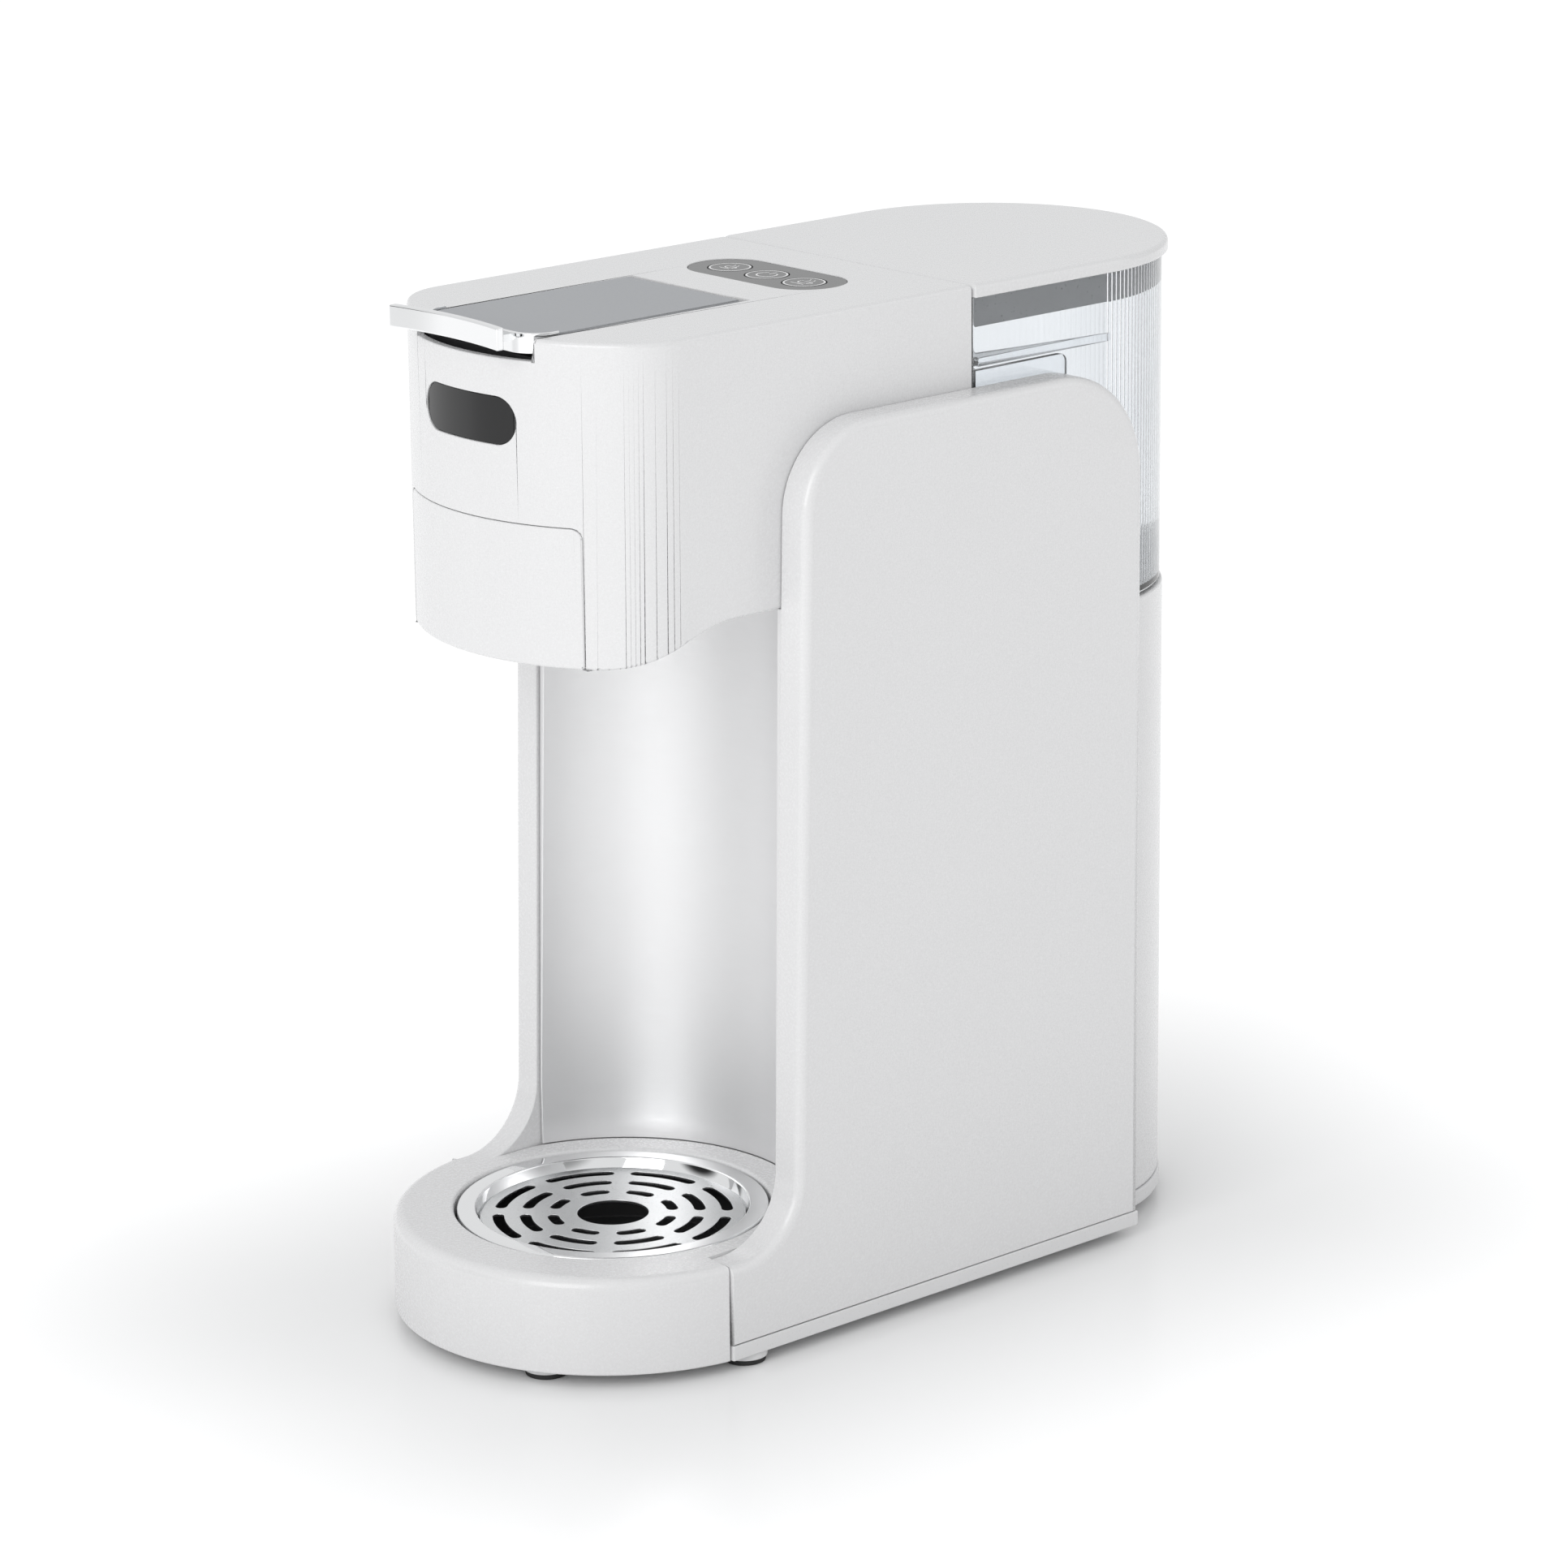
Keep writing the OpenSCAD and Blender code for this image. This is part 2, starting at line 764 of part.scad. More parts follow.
// Coil spring above the poppet, held down by the neck's cage.
module valve_spring() {
    wire_r = 0.4;
    coil_r = 3.2;
    height = 6;
    turns = 4;
    base_z = tank_z - neck_drop + 1.5 + 1.6 + wire_r + 0.1;
    color("silver") place() translate([0, neck_y, base_z]) for (i = [0:turns - 1])
        translate([0, 0, i * height / turns]) rotate_extrude($fn = 48) translate([coil_r, 0]) circle(r = wire_r, $fn = 16);
}

// ---------- inside the body ----------

module pump() {
    color("slategray") place() translate([0, 128, 34]) {
        translate([-17, -15, 0]) cube([34, 30, 26]);
        translate([0, 0, 26 - eps]) cylinder(r = 9, h = 8);
        translate([-24, 0, 12]) rotate([0, 90, 0]) cylinder(r = 3.2, h = 7.1);
        translate([17, 0, 12]) rotate([0, 90, 0]) cylinder(r = 3.2, h = 7);
    }
}

module pump_motor() {
    color("silver") place() translate([0, 144, 47]) rotate([-90, 0, 0]) {
        cylinder(r = 14, h = 34);
        translate([0, 0, 34 - eps]) cylinder(r = 5, h = 2.5);
    }
}

module flow_meter() {
    color("ivory") place() translate([-38, 128, 100]) {
        cylinder(r = 11, h = 12);
        translate([0, 0, -6]) cylinder(r = 3.2, h = 6 + eps);
        translate([0, 0, 12 - eps]) cylinder(r = 3.2, h = 6);
    }
}

// Cast heater: a barrel with two flanges.
module heater() {
    color("lightsteelblue") place() translate([28, 96, 110]) {
        cylinder(r = 16, h = 90);
        for (z = [8, 78]) translate([0, 0, z]) cylinder(r = 19, h = 4);
        translate([0, 0, -6]) cylinder(r = 3.2, h = 6 + eps);
        translate([0, 0, 90 - eps]) cylinder(r = 3.2, h = 6);
    }
}

module main_board() {
    color("darkgreen") place() {
        translate([-40, 84, 130]) cube([50, 1.6, 76]);
        for (z = [140, 160, 182]) translate([-32, 86.5, z]) rotate([90, 0, 0]) cylinder(r = 5, h = 1);
        translate([-14, 85.6 - eps, 150]) cube([16, 12, 20]);
    }
}

// A bent water tube: straight, quarter bend, straight, in the plane of +Z and +X.
tube_out = 3;
tube_in = 1.6;
bend_r = 10;

module tube_section() {
    difference() {
        circle(r = tube_out, $fn = 24);
        circle(r = tube_in, $fn = 24);
    }
}

// Rises by up, then turns towards +X and runs out by out (centre-line sizes).
module elbow_tube(up, out) {
    linear_extrude(up - bend_r) tube_section();
    translate([bend_r, 0, up - bend_r]) rotate([90, 0, 0]) rotate_extrude(angle = 90, start = 90)
        translate([bend_r, 0]) tube_section();
    translate([bend_r, 0, up]) rotate([0, 90, 0]) linear_extrude(out - bend_r) tube_section();
}

// From the tank's seat down to the flow meter.
module tank_tube() {
    top = tank_z - gap - 13;
    color("white") place() translate([-38, neck_y - 22, 118.2])
        elbow_tube(top - 10 - 118.2, 16);
}

// From the flow meter's foot to the pump's inlet.
module pump_tube() {
    color("white") place() translate([-38, 128, 93.8]) mirror([0, 0, 1]) elbow_tube(93.8 - 46, 13.8);
}

// From the pump's outlet up to the heater's foot.
module heater_tube() {
    color("white") place() translate([41, 128, 47.8]) {
        translate([0, 0, 3.2]) linear_extrude(42) tube_section();
    }
}

// From the heater's head forwards into the head, above the pod chamber.
module needle_tube() {
    color("white") place() translate([28, 96, 206.2]) rotate(-90) elbow_tube(84, 60);
}

base_plate();
base_front();
side_panel_left();
side_panel_right();
body_shell();
column_face();
feet(0);  // front_feet
feet(1);  // middle_feet
feet(2);  // rear_feet
foot_pads(0);  // front_foot_pads
foot_pads(1);  // middle_foot_pads
foot_pads(2);  // rear_foot_pads
base_screws();
cord_gland();
drip_tray();
tray_ring();
grill();
head_shell();
head_floor();
front_cover();
display_window();
control_panel();
button(-1);  // button_small_cup
button(0);  // button_power
button(1);  // button_large_cup
button_board();
flap();
flap_inlay();
handle();
hinge_pin();
brew_seal();
upper_needle();
brew_chamber();
pod_holder();
lower_needle();
spout();
water_tank();
tank_lid();
lid_skirt();
valve_seat();
valve_poppet();
valve_spring();
pump();
pump_motor();
flow_meter();
heater();
main_board();
tank_tube();
pump_tube();
heater_tube();
needle_tube();
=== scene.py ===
import json
import math

import bmesh
import bpy
from mathutils import Matrix, Vector

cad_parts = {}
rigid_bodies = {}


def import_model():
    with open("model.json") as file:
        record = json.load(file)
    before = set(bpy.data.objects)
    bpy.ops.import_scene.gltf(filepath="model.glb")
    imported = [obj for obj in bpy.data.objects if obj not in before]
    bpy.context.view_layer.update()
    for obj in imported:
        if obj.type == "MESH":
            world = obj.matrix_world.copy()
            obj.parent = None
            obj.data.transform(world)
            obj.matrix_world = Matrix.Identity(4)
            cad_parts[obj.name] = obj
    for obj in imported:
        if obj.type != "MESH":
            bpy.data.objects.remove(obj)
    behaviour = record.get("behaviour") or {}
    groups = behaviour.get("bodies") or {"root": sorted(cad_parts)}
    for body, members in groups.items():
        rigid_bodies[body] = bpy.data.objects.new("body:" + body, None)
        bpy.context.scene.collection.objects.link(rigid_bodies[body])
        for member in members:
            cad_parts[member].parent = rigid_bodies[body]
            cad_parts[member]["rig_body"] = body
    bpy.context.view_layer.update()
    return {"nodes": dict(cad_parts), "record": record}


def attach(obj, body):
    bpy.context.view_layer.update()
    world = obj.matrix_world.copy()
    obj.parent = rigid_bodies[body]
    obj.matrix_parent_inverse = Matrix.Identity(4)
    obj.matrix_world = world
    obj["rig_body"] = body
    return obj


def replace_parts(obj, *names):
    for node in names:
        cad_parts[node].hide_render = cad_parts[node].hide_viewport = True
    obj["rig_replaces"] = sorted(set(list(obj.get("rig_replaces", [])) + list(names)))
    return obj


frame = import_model()
nodes = frame["nodes"]
scene = bpy.context.scene

MM = 0.001
TRAY_Y = -79.5

# Sizes in millimetres, about the drip tray's axis: the same values as in the part's source.
HEAD_TOP, HEAD_HALF, BASE_R, REACH = 338.5, 60.5, 72.5, 170.0
PLATE_Z, PLATE_TOP, DECK_Z, WELL_R, GRILL_Z = 4.2, 9.5, 37.0, 52.5, 33.4
CHIN_Z, THROAT_Z, SPLIT_Y = 234.5, 246.2, 107.0
NOSE_R, CORNER_R, NOSE_Y, CORNER_X = 78.1, 25.0, 23.6, 35.5
CORNER_Y = NOSE_Y - math.sqrt((NOSE_R - CORNER_R) ** 2 - CORNER_X ** 2)
WALL = 2.5
PANEL_X, PANEL_TOP, PANEL_BACK, PANEL_JOINT, FOOT_TOP = 60.8, 305.0, 173.5, -10.8, 36.2
LEAN_LOW, LEAN_HIGH, FRONT_ROUND, REAR_ROUND, SWEEP_R = (18.0, 60.0), (23.8, 275.5), 29.5, 36.0, 24.0
TANK_Z, TANK_R, TANK_WALL, LID_R, LID_Z = 221.3, 59.5, 2.2, 61.5, 334.1
TANK_TOP, TANK_FRONT = LID_Z - 0.3, SPLIT_Y + 0.8
FLAP_HALF, FLAP_FRONT, FLAP_ROUND, FLAP_BACK = 27.6, -48.0, 8.5, 37.0
RECESS_BACK, RECESS_FLOOR, INLAY_TOP = 39.8, 331.5, 338.8
BAND_HALF, BAND_FRONT, BAND_LOW, BAND_HIGH = 28.2, -49.9, 333.3, 339.6
BAR_HALF, BAR_MID, BAR_BOW, BAR_T, BAR_LOW, BAR_HIGH = 26.8, -59.1, 142.6, 2.8, 336.3, 343.4
PILL_Y, PILL_HALF, PILL_R, BUTTON_PITCH, BUTTON_R = 72.6, 32.1, 14.0, 18.1, 7.2
WINDOW_HALF, WINDOW_R, WINDOW_Z = 22.0, 7.6, 311.5
COVER_HALF, COVER_TOP, COVER_ROUND = 42.0, 279.5, 3.5
RING_R, RING_IN, GRILL_R = 51.6, 46.0, 43.6
LINER_R, LINER_Y, WELL_FLOOR = 62.0, 2.0, 12.0
WEB_HALF, BAND_BACK = 18.0, -38.0
KEY_SINK = 0.3
GAP = 0.3
CLEAR = 90.0


# ---------- camera ----------

def place_camera():
    """The camera stands to the machine's right front, a little above it."""
    azimuth, elevation, roll = math.radians(48.409), math.radians(16.029), math.radians(-0.611)
    target, distance = Vector((0.05881, -0.05402, 0.18790)), 1.8306
    right = Vector((math.cos(azimuth), math.sin(azimuth), 0))
    back = Vector((math.sin(azimuth) * math.cos(elevation), -math.cos(azimuth) * math.cos(elevation),
                   math.sin(elevation)))
    up = back.cross(right)
    side = right * math.cos(roll) + up * math.sin(roll)
    top = up * math.cos(roll) - right * math.sin(roll)
    camera = bpy.data.objects.new("camera", bpy.data.cameras.new("camera"))
    scene.collection.objects.link(camera)
    camera.data.sensor_width = 36.0
    camera.data.lens = 131.796
    camera.data.clip_end = 60.0
    turn = Matrix((side, top, back)).transposed().to_4x4()
    camera.matrix_world = Matrix.Translation(target + back * distance) @ turn
    scene.camera = camera


place_camera()


# ---------- outlines ----------

def arc(cx, cy, r, a0, a1, steps):
    """Points of an arc from angle a0 to a1, in degrees."""
    turns = [math.radians(a0 + (a1 - a0) * i / steps) for i in range(steps + 1)]
    return [(cx + r * math.cos(a), cy + r * math.sin(a)) for a in turns]


def circle(cx, cy, r, steps=96):
    return arc(cx, cy, r, 0, 360, steps)[:-1]


def head_outline(inset, back, back_inset=0.0):
    """The head in plan: nose arc, two corner arcs and straight sides back to y = back."""
    lean = math.degrees(math.atan2(NOSE_Y - CORNER_Y, CORNER_X))
    r, nose = CORNER_R - inset, NOSE_R - inset
    half, rear = HEAD_HALF - inset, back - back_inset
    left = arc(-CORNER_X, CORNER_Y, r, 180, 180 + lean, 28)
    front = arc(0, NOSE_Y, nose, 180 + lean, 360 - lean, 96)[1:-1]
    right = arc(CORNER_X, CORNER_Y, r, 360 - lean, 360, 28)
    return left + front + right + [(half, rear), (0, rear), (-half, rear)]


def pill(cx, cy, half, r, steps=32):
    return arc(cx + half - r, cy, r, -90, 90, steps) + arc(cx - half + r, cy, r, 90, 270, steps)


def round_back(half, front, steps=96):
    """A plan outline with a half-round rear about the tank's axis."""
    return [(-half, front), (0, front), (half, front)] + arc(0, REACH, half, 0, 180, steps)


def rounded_box(x0, y0, x1, y1, radii, steps=8):
    """A rectangle with its own radius at each corner, from (x1, y0) on anticlockwise."""
    corners = [(x1, y0, -1, 1, -90), (x1, y1, -1, -1, 0), (x0, y1, 1, -1, 90), (x0, y0, 1, 1, 180)]
    points = []
    for (x, y, sx, sy, a), r in zip(corners, radii):
        points += arc(x + sx * r, y + sy * r, r, a, a + 90, steps) if r else [(x, y)]
    return points


def panel_outline():
    """The side panel seen from the side, as (y, z) points."""
    points = [(PANEL_BACK, PLATE_TOP + 0.1)]
    points += arc(PANEL_BACK - REAR_ROUND, PANEL_TOP - REAR_ROUND, REAR_ROUND, 0, 90, 28)
    points += arc(LEAN_HIGH[0] + FRONT_ROUND, PANEL_TOP - FRONT_ROUND, FRONT_ROUND, 90, 180, 24)
    points += arc(LEAN_LOW[0] - SWEEP_R, FOOT_TOP + SWEEP_R, SWEEP_R, 0, -90, 20)
    return points + [(PANEL_JOINT, FOOT_TOP), (PANEL_JOINT, PLATE_TOP + 0.1)]


def under_head():
    """The space below the head's underside, as (y, z) points."""
    start, rise, steps = -42.0, 46.0, 40
    bottom = 150.0
    points = [(-CLEAR, CHIN_Z)]
    for i in range(steps + 1):
        t = i / steps
        points.append((start + rise * t, CHIN_Z + (THROAT_Z - CHIN_Z) * t * t * (3 - 2 * t)))
    return points + [(SPLIT_Y + 20, THROAT_Z), (SPLIT_Y + 20, bottom), (-CLEAR, bottom)]


# ---------- solids ----------

AXES = {
    "z": lambda u, v, w: (u, v, w),
    "x": lambda u, v, w: (w, u, v),
    "y": lambda u, v, w: (u, w, v),
}


def new_object(name, vertices, faces):
    mesh = bpy.data.meshes.new(name)
    mesh.from_pydata([((x) * MM, (y + TRAY_Y) * MM, z * MM) for x, y, z in vertices], [], faces)
    obj = bpy.data.objects.new(name, mesh)
    scene.collection.objects.link(obj)
    return obj


def tidy_normals(obj):
    bm = bmesh.new()
    bm.from_mesh(obj.data)
    bmesh.ops.remove_doubles(bm, verts=bm.verts, dist=1e-7)
    bmesh.ops.recalc_face_normals(bm, faces=bm.faces)
    bm.to_mesh(obj.data)
    bm.free()


def prism(name, outline, w0, w1, axis="z"):
    """A straight prism of an outline, from w0 to w1 along an axis.

    Upright ones whose outline has points at x = 0 have caps in two halves, left and right, so that a cut
    through the middle leaves no face with a hole in it.
    """
    n = len(outline)
    at = AXES[axis]
    vertices = [at(u, v, w0) for u, v in outline] + [at(u, v, w1) for u, v in outline]
    middle = sorted((v, i) for i, (u, v) in enumerate(outline) if abs(u) < 1e-6)
    if axis == "z" and len(middle) > 1:
        i, j = sorted((middle[0][1], middle[-1][1]))
        caps = [list(range(i, j + 1)), list(range(j, n)) + list(range(i + 1))]
    else:
        caps = [list(range(n))]
    faces = caps + [[n + k for k in cap] for cap in caps]
    faces += [(i, (i + 1) % n, n + (i + 1) % n, n + i) for i in range(n)]
    obj = new_object(name, vertices, faces)
    tidy_normals(obj)
    return obj


def lathe(name, profile, cx=0.0, cy=0.0, steps=128):
    """A ring turned about the upright axis at (cx, cy) from a closed (r, z) profile."""
    n = len(profile)
    vertices, faces = [], []
    for i in range(steps):
        a = 2 * math.pi * i / steps
        vertices += [(cx + r * math.cos(a), cy + r * math.sin(a), z) for r, z in profile]
        nxt = (i + 1) % steps
        faces += [(i * n + j, nxt * n + j, nxt * n + (j + 1) % n, i * n + (j + 1) % n) for j in range(n)]
    obj = new_object(name, vertices, faces)
    tidy_normals(obj)
    return obj


def bake(obj):
    """Applies the object's modifiers."""
    evaluated = obj.evaluated_get(bpy.context.evaluated_depsgraph_get())
    mesh = bpy.data.meshes.new_from_object(evaluated)
    obj.modifiers.clear()
    obj.data = mesh
    return obj


def combine(obj, operation, *tools):
    """Cuts, joins or intersects obj with the tools, which are used up."""
    for tool in tools:
        modifier = obj.modifiers.new("boolean", "BOOLEAN")
        modifier.operation = operation
        modifier.solver = "EXACT"
        modifier.object = tool
        bake(obj)
        bpy.data.objects.remove(tool)
    return obj


def cut(obj, *tools):
    return combine(obj, "DIFFERENCE", *tools)


def join(obj, *others):
    """Puts loose solids into one object, without a boolean."""
    bm = bmesh.new()
    for part in (obj,) + others:
        bm.from_mesh(part.data)
    bm.to_mesh(obj.data)
    bm.free()
    for part in others:
        bpy.data.objects.remove(part)
    return obj


def round_edges(obj, rule, segments=4, sharp=28.0):
    """Rounds sharp edges by the mm that rule(x, y, z, direction) gives, and shades the rest smooth."""
    bm = bmesh.new()
    bm.from_mesh(obj.data)
    bmesh.ops.remove_doubles(bm, verts=bm.verts, dist=2e-6)
    bmesh.ops.dissolve_degenerate(bm, edges=bm.edges, dist=1e-6)
    sizes = {}
    for edge in bm.edges:
        if len(edge.link_faces) != 2 or edge.calc_face_angle(0) < math.radians(sharp):
            continue
        mid = (edge.verts[0].co + edge.verts[1].co) / 2 / MM
        along = (edge.verts[1].co - edge.verts[0].co).normalized()
        size = rule(mid.x, mid.y - TRAY_Y, mid.z, along) if callable(rule) else rule
        if size:
            sizes[edge.index] = size
    widest = max(sizes.values(), default=0)
    layer = bm.edges.layers.float.new("bevel_weight_edge")
    bm.edges.index_update()
    for edge in bm.edges:
        edge[layer] = sizes.get(edge.index, 0) / widest if widest else 0
        edge.smooth = edge.calc_face_angle(0) < math.radians(sharp) if len(edge.link_faces) == 2 else True
    for face in bm.faces:
        face.smooth = True
    bm.to_mesh(obj.data)
    bm.free()
    if widest:
        bevel = obj.modifiers.new("rounding", "BEVEL")
        bevel.limit_method = "WEIGHT"
        bevel.width = widest * MM
        bevel.segments = segments
        bevel.use_clamp_overlap = False
        bevel.harden_normals = True
        bake(obj)
    return obj


def wall_normal(x, y, inset):
    """Outward direction of the head's wall at a point of its outline, or None off the wall."""
    dx, dy = abs(x) - CORNER_X, y - CORNER_Y
    lean = math.atan2(NOSE_Y - CORNER_Y, CORNER_X)
    if dy >= 0:
        return Vector((math.copysign(1, x), 0, 0)) if abs(abs(x) - HEAD_HALF + inset) < 0.02 else None
    if dx > 0 and math.atan2(-dy, dx) < lean:
        if abs(math.hypot(dx, dy) - CORNER_R + inset) < 0.03:
            return Vector((math.copysign(dx, x), dy, 0)).normalized()
        return None
    if abs(math.hypot(x, y - NOSE_Y) - NOSE_R + inset) < 0.03:
        return Vector((x, y - NOSE_Y, 0)).normalized()
    return None


def true_wall_normals(obj, inset=0.0):
    """Sets exact normals on the head's wall wherever a face lies wholly on it."""
    mesh = obj.data
    normals = [Vector(n.vector) for n in mesh.corner_normals]
    for polygon in mesh.polygons:
        points = [mesh.vertices[i].co / MM for i in polygon.vertices]
        exact = [wall_normal(co.x, co.y - TRAY_Y, inset) for co in points]
        sliver = polygon.area < 2e-8
        if None in exact or not (sliver or abs(polygon.normal.z) < 0.05):
            continue
        for i, normal in zip(polygon.loop_indices, exact):
            if sliver or normal.dot(polygon.normal) > 0.9:
                normals[i] = normal
    mesh.normals_split_custom_set(normals)
    return obj


# ---------- procedural materials ----------

def shader(name):
    material = bpy.data.materials.new(name)
    material.use_nodes = True
    tree = material.node_tree
    return material, tree, tree.nodes["Principled BSDF"]


def mapped_noise(tree, scale, stretch=(1, 1, 1), detail=4.0, rough=0.55):
    """Noise in the object's own space; stretch above 1 makes it finer along that axis."""
    where = tree.nodes.new("ShaderNodeTexCoord")
    mapping = tree.nodes.new("ShaderNodeMapping")
    mapping.inputs["Scale"].default_value = stretch
    noise = tree.nodes.new("ShaderNodeTexNoise")
    noise.inputs["Scale"].default_value = scale
    noise.inputs["Detail"].default_value = detail
    noise.inputs["Roughness"].default_value = rough
    tree.links.new(where.outputs["Object"], mapping.inputs["Vector"])
    tree.links.new(mapping.outputs["Vector"], noise.inputs["Vector"])
    return noise


def ranged(tree, source, low, high):
    """Maps a 0-1 value to low-high."""
    node = tree.nodes.new("ShaderNodeMapRange")
    node.inputs["To Min"].default_value = low
    node.inputs["To Max"].default_value = high
    node.inputs["From Min"].default_value = 0.25
    node.inputs["From Max"].default_value = 0.75
    tree.links.new(source, node.inputs["Value"])
    return node.outputs["Result"]


def tinted(tree, source, dark, light):
    node = tree.nodes.new("ShaderNodeMix")
    node.data_type = "RGBA"
    node.inputs["A"].default_value = (*dark, 1)
    node.inputs["B"].default_value = (*light, 1)
    tree.links.new(source, node.inputs["Factor"])
    return node.outputs["Result"]


def bumped(tree, bsdf, source, strength, depth):
    node = tree.nodes.new("ShaderNodeBump")
    node.inputs["Strength"].default_value = strength
    node.inputs["Distance"].default_value = depth
    tree.links.new(source, node.inputs["Height"])
    tree.links.new(node.outputs["Normal"], bsdf.inputs["Normal"])


def finish_material(name, color, vary=0.02, rough=0.3, rough_vary=0.04, metallic=0.0, grain=900.0,
                    stretch=(1, 1, 1), bump=0.1, depth=0.00003, **sockets):
    """A moulded, cast or drawn finish: slow tone drift, fine grain in roughness and relief."""
    material, tree, bsdf = shader(name)
    drift = mapped_noise(tree, 18.0, detail=3.0)
    fine = mapped_noise(tree, grain, stretch, detail=5.0)
    dark = [max(0.0, c * (1 - vary)) for c in color]
    light = [min(1.0, c * (1 + vary)) for c in color]
    tree.links.new(tinted(tree, drift.outputs["Fac"], dark, light), bsdf.inputs["Base Color"])
    tree.links.new(ranged(tree, fine.outputs["Fac"], rough - rough_vary, rough + rough_vary),
                   bsdf.inputs["Roughness"])
    bsdf.inputs["Metallic"].default_value = metallic
    for socket, value in sockets.items():
        bsdf.inputs[socket.replace("_", " ")].default_value = value
    if bump:
        bumped(tree, bsdf, fine.outputs["Fac"], bump, depth)
    return material


M = {
    "white_gloss": finish_material("white_gloss", (0.72, 0.72, 0.725), 0.012, 0.27, 0.03, bump=0.05,
                                   Coat_Weight=0.25, Coat_Roughness=0.2),
    "white_base": finish_material("white_base", (0.72, 0.72, 0.725), 0.012, 0.29, 0.03, bump=0.05,
                                  Coat_Weight=0.2, Coat_Roughness=0.25),
    "column_silver": finish_material("column_silver", (0.80, 0.80, 0.805), 0.015, 0.42, 0.06, 0.75,
                                     grain=160.0, stretch=(1, 1, 14), bump=0.12),
    "chrome": finish_material("chrome", (0.86, 0.865, 0.87), 0.01, 0.05, 0.012, 1.0, bump=0.0),
    "grill_steel": finish_material("grill_steel", (0.72, 0.73, 0.735), 0.03, 0.30, 0.05, 1.0, grain=420.0,
                                   stretch=(8, 1, 1), bump=0.06),
    "inlay_grey": finish_material("inlay_grey", (0.385, 0.395, 0.41), 0.015, 0.6, 0.05, bump=0.12),
    "black_gloss": finish_material("black_gloss", (0.006, 0.006, 0.0065), 0.2, 0.09, 0.02, bump=0.02),
    "skirt_grey": finish_material("skirt_grey", (0.40, 0.41, 0.42), 0.02, 0.3, 0.04, bump=0.05,
                                  Transmission_Weight=0.35),
    "tray_plastic": finish_material("tray_plastic", (0.045, 0.045, 0.047), 0.1, 0.38, 0.05, bump=0.15),
    "rubber_black": finish_material("rubber_black", (0.02, 0.02, 0.02), 0.15, 0.7, 0.08, bump=0.3),
    "seal_grey": finish_material("seal_grey", (0.22, 0.22, 0.225), 0.06, 0.55, 0.06, bump=0.2),
    "pin_steel": finish_material("pin_steel", (0.66, 0.66, 0.67), 0.03, 0.24, 0.06, 1.0, grain=500.0,
                                 stretch=(1, 6, 6), bump=0.08),
    "dark_plastic": finish_material("dark_plastic", (0.06, 0.06, 0.063), 0.1, 0.42, 0.05, bump=0.2),
    "cast_aluminium": finish_material("cast_aluminium", (0.60, 0.61, 0.62), 0.06, 0.48, 0.08, 1.0,
                                      grain=260.0, bump=0.35, depth=0.0001),
    "board_green": finish_material("board_green", (0.02, 0.13, 0.05), 0.15, 0.4, 0.08, bump=0.15),
    "tube_silicone": finish_material("tube_silicone", (0.72, 0.74, 0.74), 0.03, 0.35, 0.05, bump=0.1,
                                     Transmission_Weight=0.5),
}


def clear_plastic():
    """Clear tank plastic with a faint grey tint and moulding flow marks."""
    material, tree, bsdf = shader("tank_clear")
    flow = mapped_noise(tree, 60.0, (1, 1, 0.3), detail=3.0)
    tree.links.new(tinted(tree, flow.outputs["Fac"], (0.86, 0.88, 0.90), (0.92, 0.935, 0.95)),
                   bsdf.inputs["Base Color"])
    tree.links.new(ranged(tree, flow.outputs["Fac"], 0.015, 0.035), bsdf.inputs["Roughness"])
    bsdf.inputs["IOR"].default_value = 1.49
    bsdf.inputs["Transmission Weight"].default_value = 1.0
    bumped(tree, bsdf, flow.outputs["Fac"], 0.04, 0.0002)
    return material


M["tank_clear"] = clear_plastic()


# ---------- placing pieces ----------

SLOTS = {part["node"]: part["material_slot"] for part in frame["record"]["subparts"]}


def dress(obj, node):
    """obj stands for a CAD node: same body, same finish."""
    slot = SLOTS[node]
    obj.data.materials.clear()
    obj.data.materials.append(M[slot])
    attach(obj, nodes[node]["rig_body"])
    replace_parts(obj, node)
    obj.name = node + "_piece"
    return obj


def softened(node, size=0.3, segments=2):
    """A copy of a CAD node with its sharp edges rounded."""
    obj = bpy.data.objects.new(node + "_piece", nodes[node].data.copy())
    scene.collection.objects.link(obj)
    bm = bmesh.new()
    bm.from_mesh(obj.data)
    bmesh.ops.remove_doubles(bm, verts=bm.verts, dist=1e-6)
    bmesh.ops.dissolve_limit(bm, angle_limit=math.radians(0.4), verts=bm.verts, edges=bm.edges)
    bm.to_mesh(obj.data)
    bm.free()
    round_edges(obj, size, segments)
    return dress(obj, node)


# ---------- base ----------

